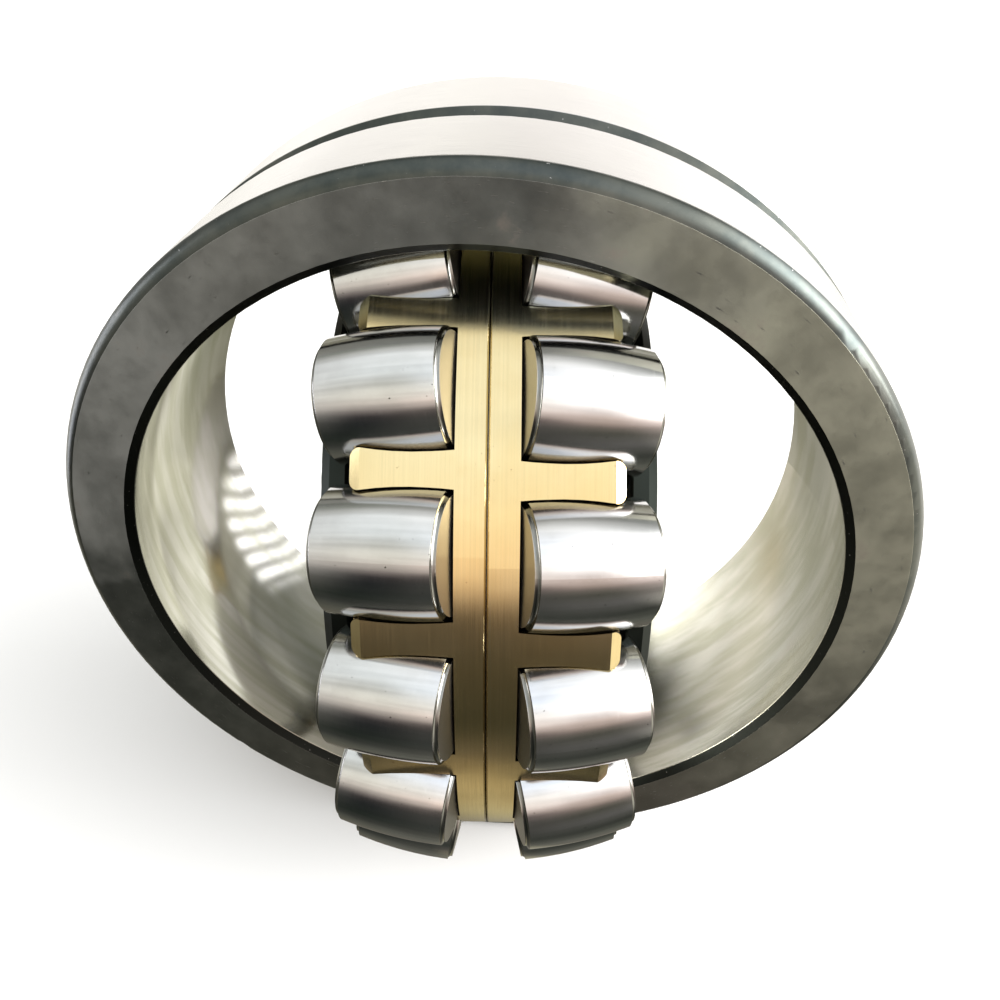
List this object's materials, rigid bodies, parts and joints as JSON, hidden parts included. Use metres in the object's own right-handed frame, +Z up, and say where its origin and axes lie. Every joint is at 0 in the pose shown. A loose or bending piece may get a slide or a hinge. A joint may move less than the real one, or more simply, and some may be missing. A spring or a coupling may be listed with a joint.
{
  "type": "spherical roller bearing",
  "caption": "Double row self-aligning spherical roller bearing with a two-piece brass comb cage, its inner assembly swung across the outer ring.",
  "frame": {"origin": "the bearing's centre, which is the centre of the spherical raceway, of both rings and of the swivel", "axes": "+Y along the outer ring's axis, +Z up with the outer ring standing on its rim, +X to the right seen from the front, which faces -Y. At rest the inner assembly's axis lies 4.46 degrees from +X towards +Y"},
  "size_m": [0.3599, 0.3183, 0.36],
  "materials": {
    "ring_steel": "ground bearing steel, satin faces and a polished raceway",
    "roller_steel": "ground and honed bearing steel",
    "cage_brass": "machined brass with fine turning marks"
  },
  "bodies": {
    "outer_ring": {"outer_ring": "ring_steel"},
    "guide_ring": {"guide_ring": "ring_steel"},
    "inner_ring": {"inner_ring": "ring_steel"},
    "cage_left": {"cage_left": "cage_brass"},
    "cage_right": {"cage_right": "cage_brass"},
    "roller_left_01": {"roller_left_01": "roller_steel"},
    "roller_left_02": {"roller_left_02": "roller_steel"},
    "roller_left_03": {"roller_left_03": "roller_steel"},
    "roller_left_04": {"roller_left_04": "roller_steel"},
    "roller_left_05": {"roller_left_05": "roller_steel"},
    "roller_left_06": {"roller_left_06": "roller_steel"},
    "roller_left_07": {"roller_left_07": "roller_steel"},
    "roller_left_08": {"roller_left_08": "roller_steel"},
    "roller_left_09": {"roller_left_09": "roller_steel"},
    "roller_left_10": {"roller_left_10": "roller_steel"},
    "roller_left_11": {"roller_left_11": "roller_steel"},
    "roller_left_12": {"roller_left_12": "roller_steel"},
    "roller_left_13": {"roller_left_13": "roller_steel"},
    "roller_left_14": {"roller_left_14": "roller_steel"},
    "roller_left_15": {"roller_left_15": "roller_steel"},
    "roller_left_16": {"roller_left_16": "roller_steel"},
    "roller_right_01": {"roller_right_01": "roller_steel"},
    "roller_right_02": {"roller_right_02": "roller_steel"},
    "roller_right_03": {"roller_right_03": "roller_steel"},
    "roller_right_04": {"roller_right_04": "roller_steel"},
    "roller_right_05": {"roller_right_05": "roller_steel"},
    "roller_right_06": {"roller_right_06": "roller_steel"},
    "roller_right_07": {"roller_right_07": "roller_steel"},
    "roller_right_08": {"roller_right_08": "roller_steel"},
    "roller_right_09": {"roller_right_09": "roller_steel"},
    "roller_right_10": {"roller_right_10": "roller_steel"},
    "roller_right_11": {"roller_right_11": "roller_steel"},
    "roller_right_12": {"roller_right_12": "roller_steel"},
    "roller_right_13": {"roller_right_13": "roller_steel"},
    "roller_right_14": {"roller_right_14": "roller_steel"},
    "roller_right_15": {"roller_right_15": "roller_steel"},
    "roller_right_16": {"roller_right_16": "roller_steel"}
  },
  "joints": [
    {"name": "swivel", "type": "hinge", "parent": "outer_ring", "child": "guide_ring", "pos_m": [0, 0, 0], "axis": [0, 0, 1], "range_deg": [-96.96, 88.04]},
    {"name": "inner_ring_spin", "type": "hinge", "parent": "guide_ring", "child": "inner_ring", "pos_m": [0, 0, 0], "axis": [0.997, 0.0778, 0], "continuous": true},
    {"name": "cage_left_orbit", "type": "hinge", "parent": "guide_ring", "child": "cage_left", "pos_m": [0, 0, 0], "axis": [0.997, 0.0778, 0], "continuous": true},
    {"name": "cage_right_orbit", "type": "hinge", "parent": "guide_ring", "child": "cage_right", "pos_m": [0, 0, 0], "axis": [0.997, 0.0778, 0], "continuous": true},
    {"name": "roller_left_01_spin", "type": "hinge", "parent": "cage_left", "child": "roller_left_01", "pos_m": [-0.02247, -0.11633, 0.07017], "axis": [0.9858, -0.1183, 0.1195], "continuous": true},
    {"name": "roller_left_02_spin", "type": "hinge", "parent": "cage_left", "child": "roller_left_02", "pos_m": [-0.02523, -0.08089, 0.10854], "axis": [0.9811, -0.0579, 0.1849], "continuous": true},
    {"name": "roller_left_03_spin", "type": "hinge", "parent": "cage_left", "child": "roller_left_03", "pos_m": [-0.02893, -0.03351, 0.13039], "axis": [0.9748, 0.0228, 0.2221], "continuous": true},
    {"name": "roller_left_04_spin", "type": "hinge", "parent": "cage_left", "child": "roller_left_04", "pos_m": [-0.03299, 0.0186, 0.13239], "axis": [0.9678, 0.1116, 0.2255], "continuous": true},
    {"name": "roller_left_05_spin", "type": "hinge", "parent": "cage_left", "child": "roller_left_05", "pos_m": [-0.0368, 0.06751, 0.11423], "axis": [0.9613, 0.1949, 0.1946], "continuous": true},
    {"name": "roller_left_06_spin", "type": "hinge", "parent": "cage_left", "child": "roller_left_06", "pos_m": [-0.03979, 0.10577, 0.07869], "axis": [0.9563, 0.26, 0.134], "continuous": true},
    {"name": "roller_left_07_spin", "type": "hinge", "parent": "cage_left", "child": "roller_left_07", "pos_m": [-0.04149, 0.12755, 0.03116], "axis": [0.9534, 0.2971, 0.0531], "continuous": true},
    {"name": "roller_left_08_spin", "type": "hinge", "parent": "cage_left", "child": "roller_left_08", "pos_m": [-0.04164, 0.12954, -0.02111], "axis": [0.9531, 0.3005, -0.036], "continuous": true},
    {"name": "roller_left_09_spin", "type": "hinge", "parent": "cage_left", "child": "roller_left_09", "pos_m": [-0.04023, 0.11144, -0.07017], "axis": [0.9555, 0.2697, -0.1195], "continuous": true},
    {"name": "roller_left_10_spin", "type": "hinge", "parent": "cage_left", "child": "roller_left_10", "pos_m": [-0.03747, 0.076, -0.10854], "axis": [0.9602, 0.2093, -0.1849], "continuous": true},
    {"name": "roller_left_11_spin", "type": "hinge", "parent": "cage_left", "child": "roller_left_11", "pos_m": [-0.03377, 0.02862, -0.13039], "axis": [0.9665, 0.1286, -0.2221], "continuous": true},
    {"name": "roller_left_12_spin", "type": "hinge", "parent": "cage_left", "child": "roller_left_12", "pos_m": [-0.02971, -0.02349, -0.13239], "axis": [0.9734, 0.0399, -0.2255], "continuous": true},
    {"name": "roller_left_13_spin", "type": "hinge", "parent": "cage_left", "child": "roller_left_13", "pos_m": [-0.02589, -0.0724, -0.11423], "axis": [0.9799, -0.0434, -0.1946], "continuous": true},
    {"name": "roller_left_14_spin", "type": "hinge", "parent": "cage_left", "child": "roller_left_14", "pos_m": [-0.02291, -0.11066, -0.07869], "axis": [0.985, -0.1086, -0.134], "continuous": true},
    {"name": "roller_left_15_spin", "type": "hinge", "parent": "cage_left", "child": "roller_left_15", "pos_m": [-0.02121, -0.13244, -0.03116], "axis": [0.9879, -0.1457, -0.0531], "continuous": true},
    {"name": "roller_left_16_spin", "type": "hinge", "parent": "cage_left", "child": "roller_left_16", "pos_m": [-0.02105, -0.13443, 0.02111], "axis": [0.9882, -0.1491, 0.036], "continuous": true},
    {"name": "roller_right_01_spin", "type": "hinge", "parent": "cage_right", "child": "roller_right_01", "pos_m": [0.04036, -0.11308, 0.06742], "axis": [0.9553, 0.2725, -0.1148], "continuous": true},
    {"name": "roller_right_02_spin", "type": "hinge", "parent": "cage_right", "child": "roller_right_02", "pos_m": [0.03767, -0.07857, 0.10663], "axis": [0.9599, 0.2137, -0.1816], "continuous": true},
    {"name": "roller_right_03_spin", "type": "hinge", "parent": "cage_right", "child": "roller_right_03", "pos_m": [0.03401, -0.03172, 0.12961], "axis": [0.9661, 0.1339, -0.2208], "continuous": true},
    {"name": "roller_right_04_spin", "type": "hinge", "parent": "cage_right", "child": "roller_right_04", "pos_m": [0.02995, 0.02033, 0.13286], "axis": [0.973, 0.0452, -0.2263], "continuous": true},
    {"name": "roller_right_05_spin", "type": "hinge", "parent": "cage_right", "child": "roller_right_05", "pos_m": [0.02611, 0.06966, 0.11588], "axis": [0.9796, -0.0388, -0.1974], "continuous": true},
    {"name": "roller_right_06_spin", "type": "hinge", "parent": "cage_right", "child": "roller_right_06", "pos_m": [0.02306, 0.10875, 0.08126], "axis": [0.9848, -0.1054, -0.1384], "continuous": true},
    {"name": "roller_right_07_spin", "type": "hinge", "parent": "cage_right", "child": "roller_right_07", "pos_m": [0.02127, 0.13166, 0.03427], "axis": [0.9878, -0.1444, -0.0584], "continuous": true},
    {"name": "roller_right_08_spin", "type": "hinge", "parent": "cage_right", "child": "roller_right_08", "pos_m": [0.02102, 0.1349, -0.01794], "axis": [0.9882, -0.1499, 0.0306], "continuous": true},
    {"name": "roller_right_09_spin", "type": "hinge", "parent": "cage_right", "child": "roller_right_09", "pos_m": [0.02234, 0.11797, -0.06742], "axis": [0.986, -0.1211, 0.1148], "continuous": true},
    {"name": "roller_right_10_spin", "type": "hinge", "parent": "cage_right", "child": "roller_right_10", "pos_m": [0.02503, 0.08346, -0.10663], "axis": [0.9814, -0.0623, 0.1816], "continuous": true},
    {"name": "roller_right_11_spin", "type": "hinge", "parent": "cage_right", "child": "roller_right_11", "pos_m": [0.02868, 0.03661, -0.12961], "axis": [0.9752, 0.0175, 0.2208], "continuous": true},
    {"name": "roller_right_12_spin", "type": "hinge", "parent": "cage_right", "child": "roller_right_12", "pos_m": [0.03274, -0.01544, -0.13286], "axis": [0.9683, 0.1062, 0.2263], "continuous": true},
    {"name": "roller_right_13_spin", "type": "hinge", "parent": "cage_right", "child": "roller_right_13", "pos_m": [0.03659, -0.06477, -0.11588], "axis": [0.9617, 0.1902, 0.1974], "continuous": true},
    {"name": "roller_right_14_spin", "type": "hinge", "parent": "cage_right", "child": "roller_right_14", "pos_m": [0.03964, -0.10386, -0.08126], "axis": [0.9565, 0.2568, 0.1384], "continuous": true},
    {"name": "roller_right_15_spin", "type": "hinge", "parent": "cage_right", "child": "roller_right_15", "pos_m": [0.04143, -0.12677, -0.03427], "axis": [0.9535, 0.2958, 0.0584], "continuous": true},
    {"name": "roller_right_16_spin", "type": "hinge", "parent": "cage_right", "child": "roller_right_16", "pos_m": [0.04168, -0.13001, 0.01794], "axis": [0.953, 0.3013, -0.0306], "continuous": true}
  ],
  "couplings": [
    {"joint": "cage_left_orbit", "follows": "inner_ring_spin", "ratio": 0.41648},
    {"joint": "cage_right_orbit", "follows": "inner_ring_spin", "ratio": 0.41648},
    {"joint": "roller_left_01_spin", "follows": "inner_ring_spin", "ratio": -2.8331},
    {"joint": "roller_left_02_spin", "follows": "inner_ring_spin", "ratio": -2.8331},
    {"joint": "roller_left_03_spin", "follows": "inner_ring_spin", "ratio": -2.8331},
    {"joint": "roller_left_04_spin", "follows": "inner_ring_spin", "ratio": -2.8331},
    {"joint": "roller_left_05_spin", "follows": "inner_ring_spin", "ratio": -2.8331},
    {"joint": "roller_left_06_spin", "follows": "inner_ring_spin", "ratio": -2.8331},
    {"joint": "roller_left_07_spin", "follows": "inner_ring_spin", "ratio": -2.8331},
    {"joint": "roller_left_08_spin", "follows": "inner_ring_spin", "ratio": -2.8331},
    {"joint": "roller_left_09_spin", "follows": "inner_ring_spin", "ratio": -2.8331},
    {"joint": "roller_left_10_spin", "follows": "inner_ring_spin", "ratio": -2.8331},
    {"joint": "roller_left_11_spin", "follows": "inner_ring_spin", "ratio": -2.8331},
    {"joint": "roller_left_12_spin", "follows": "inner_ring_spin", "ratio": -2.8331},
    {"joint": "roller_left_13_spin", "follows": "inner_ring_spin", "ratio": -2.8331},
    {"joint": "roller_left_14_spin", "follows": "inner_ring_spin", "ratio": -2.8331},
    {"joint": "roller_left_15_spin", "follows": "inner_ring_spin", "ratio": -2.8331},
    {"joint": "roller_left_16_spin", "follows": "inner_ring_spin", "ratio": -2.8331},
    {"joint": "roller_right_01_spin", "follows": "inner_ring_spin", "ratio": -2.8331},
    {"joint": "roller_right_02_spin", "follows": "inner_ring_spin", "ratio": -2.8331},
    {"joint": "roller_right_03_spin", "follows": "inner_ring_spin", "ratio": -2.8331},
    {"joint": "roller_right_04_spin", "follows": "inner_ring_spin", "ratio": -2.8331},
    {"joint": "roller_right_05_spin", "follows": "inner_ring_spin", "ratio": -2.8331},
    {"joint": "roller_right_06_spin", "follows": "inner_ring_spin", "ratio": -2.8331},
    {"joint": "roller_right_07_spin", "follows": "inner_ring_spin", "ratio": -2.8331},
    {"joint": "roller_right_08_spin", "follows": "inner_ring_spin", "ratio": -2.8331},
    {"joint": "roller_right_09_spin", "follows": "inner_ring_spin", "ratio": -2.8331},
    {"joint": "roller_right_10_spin", "follows": "inner_ring_spin", "ratio": -2.8331},
    {"joint": "roller_right_11_spin", "follows": "inner_ring_spin", "ratio": -2.8331},
    {"joint": "roller_right_12_spin", "follows": "inner_ring_spin", "ratio": -2.8331},
    {"joint": "roller_right_13_spin", "follows": "inner_ring_spin", "ratio": -2.8331},
    {"joint": "roller_right_14_spin", "follows": "inner_ring_spin", "ratio": -2.8331},
    {"joint": "roller_right_15_spin", "follows": "inner_ring_spin", "ratio": -2.8331},
    {"joint": "roller_right_16_spin", "follows": "inner_ring_spin", "ratio": -2.8331}
  ]
}
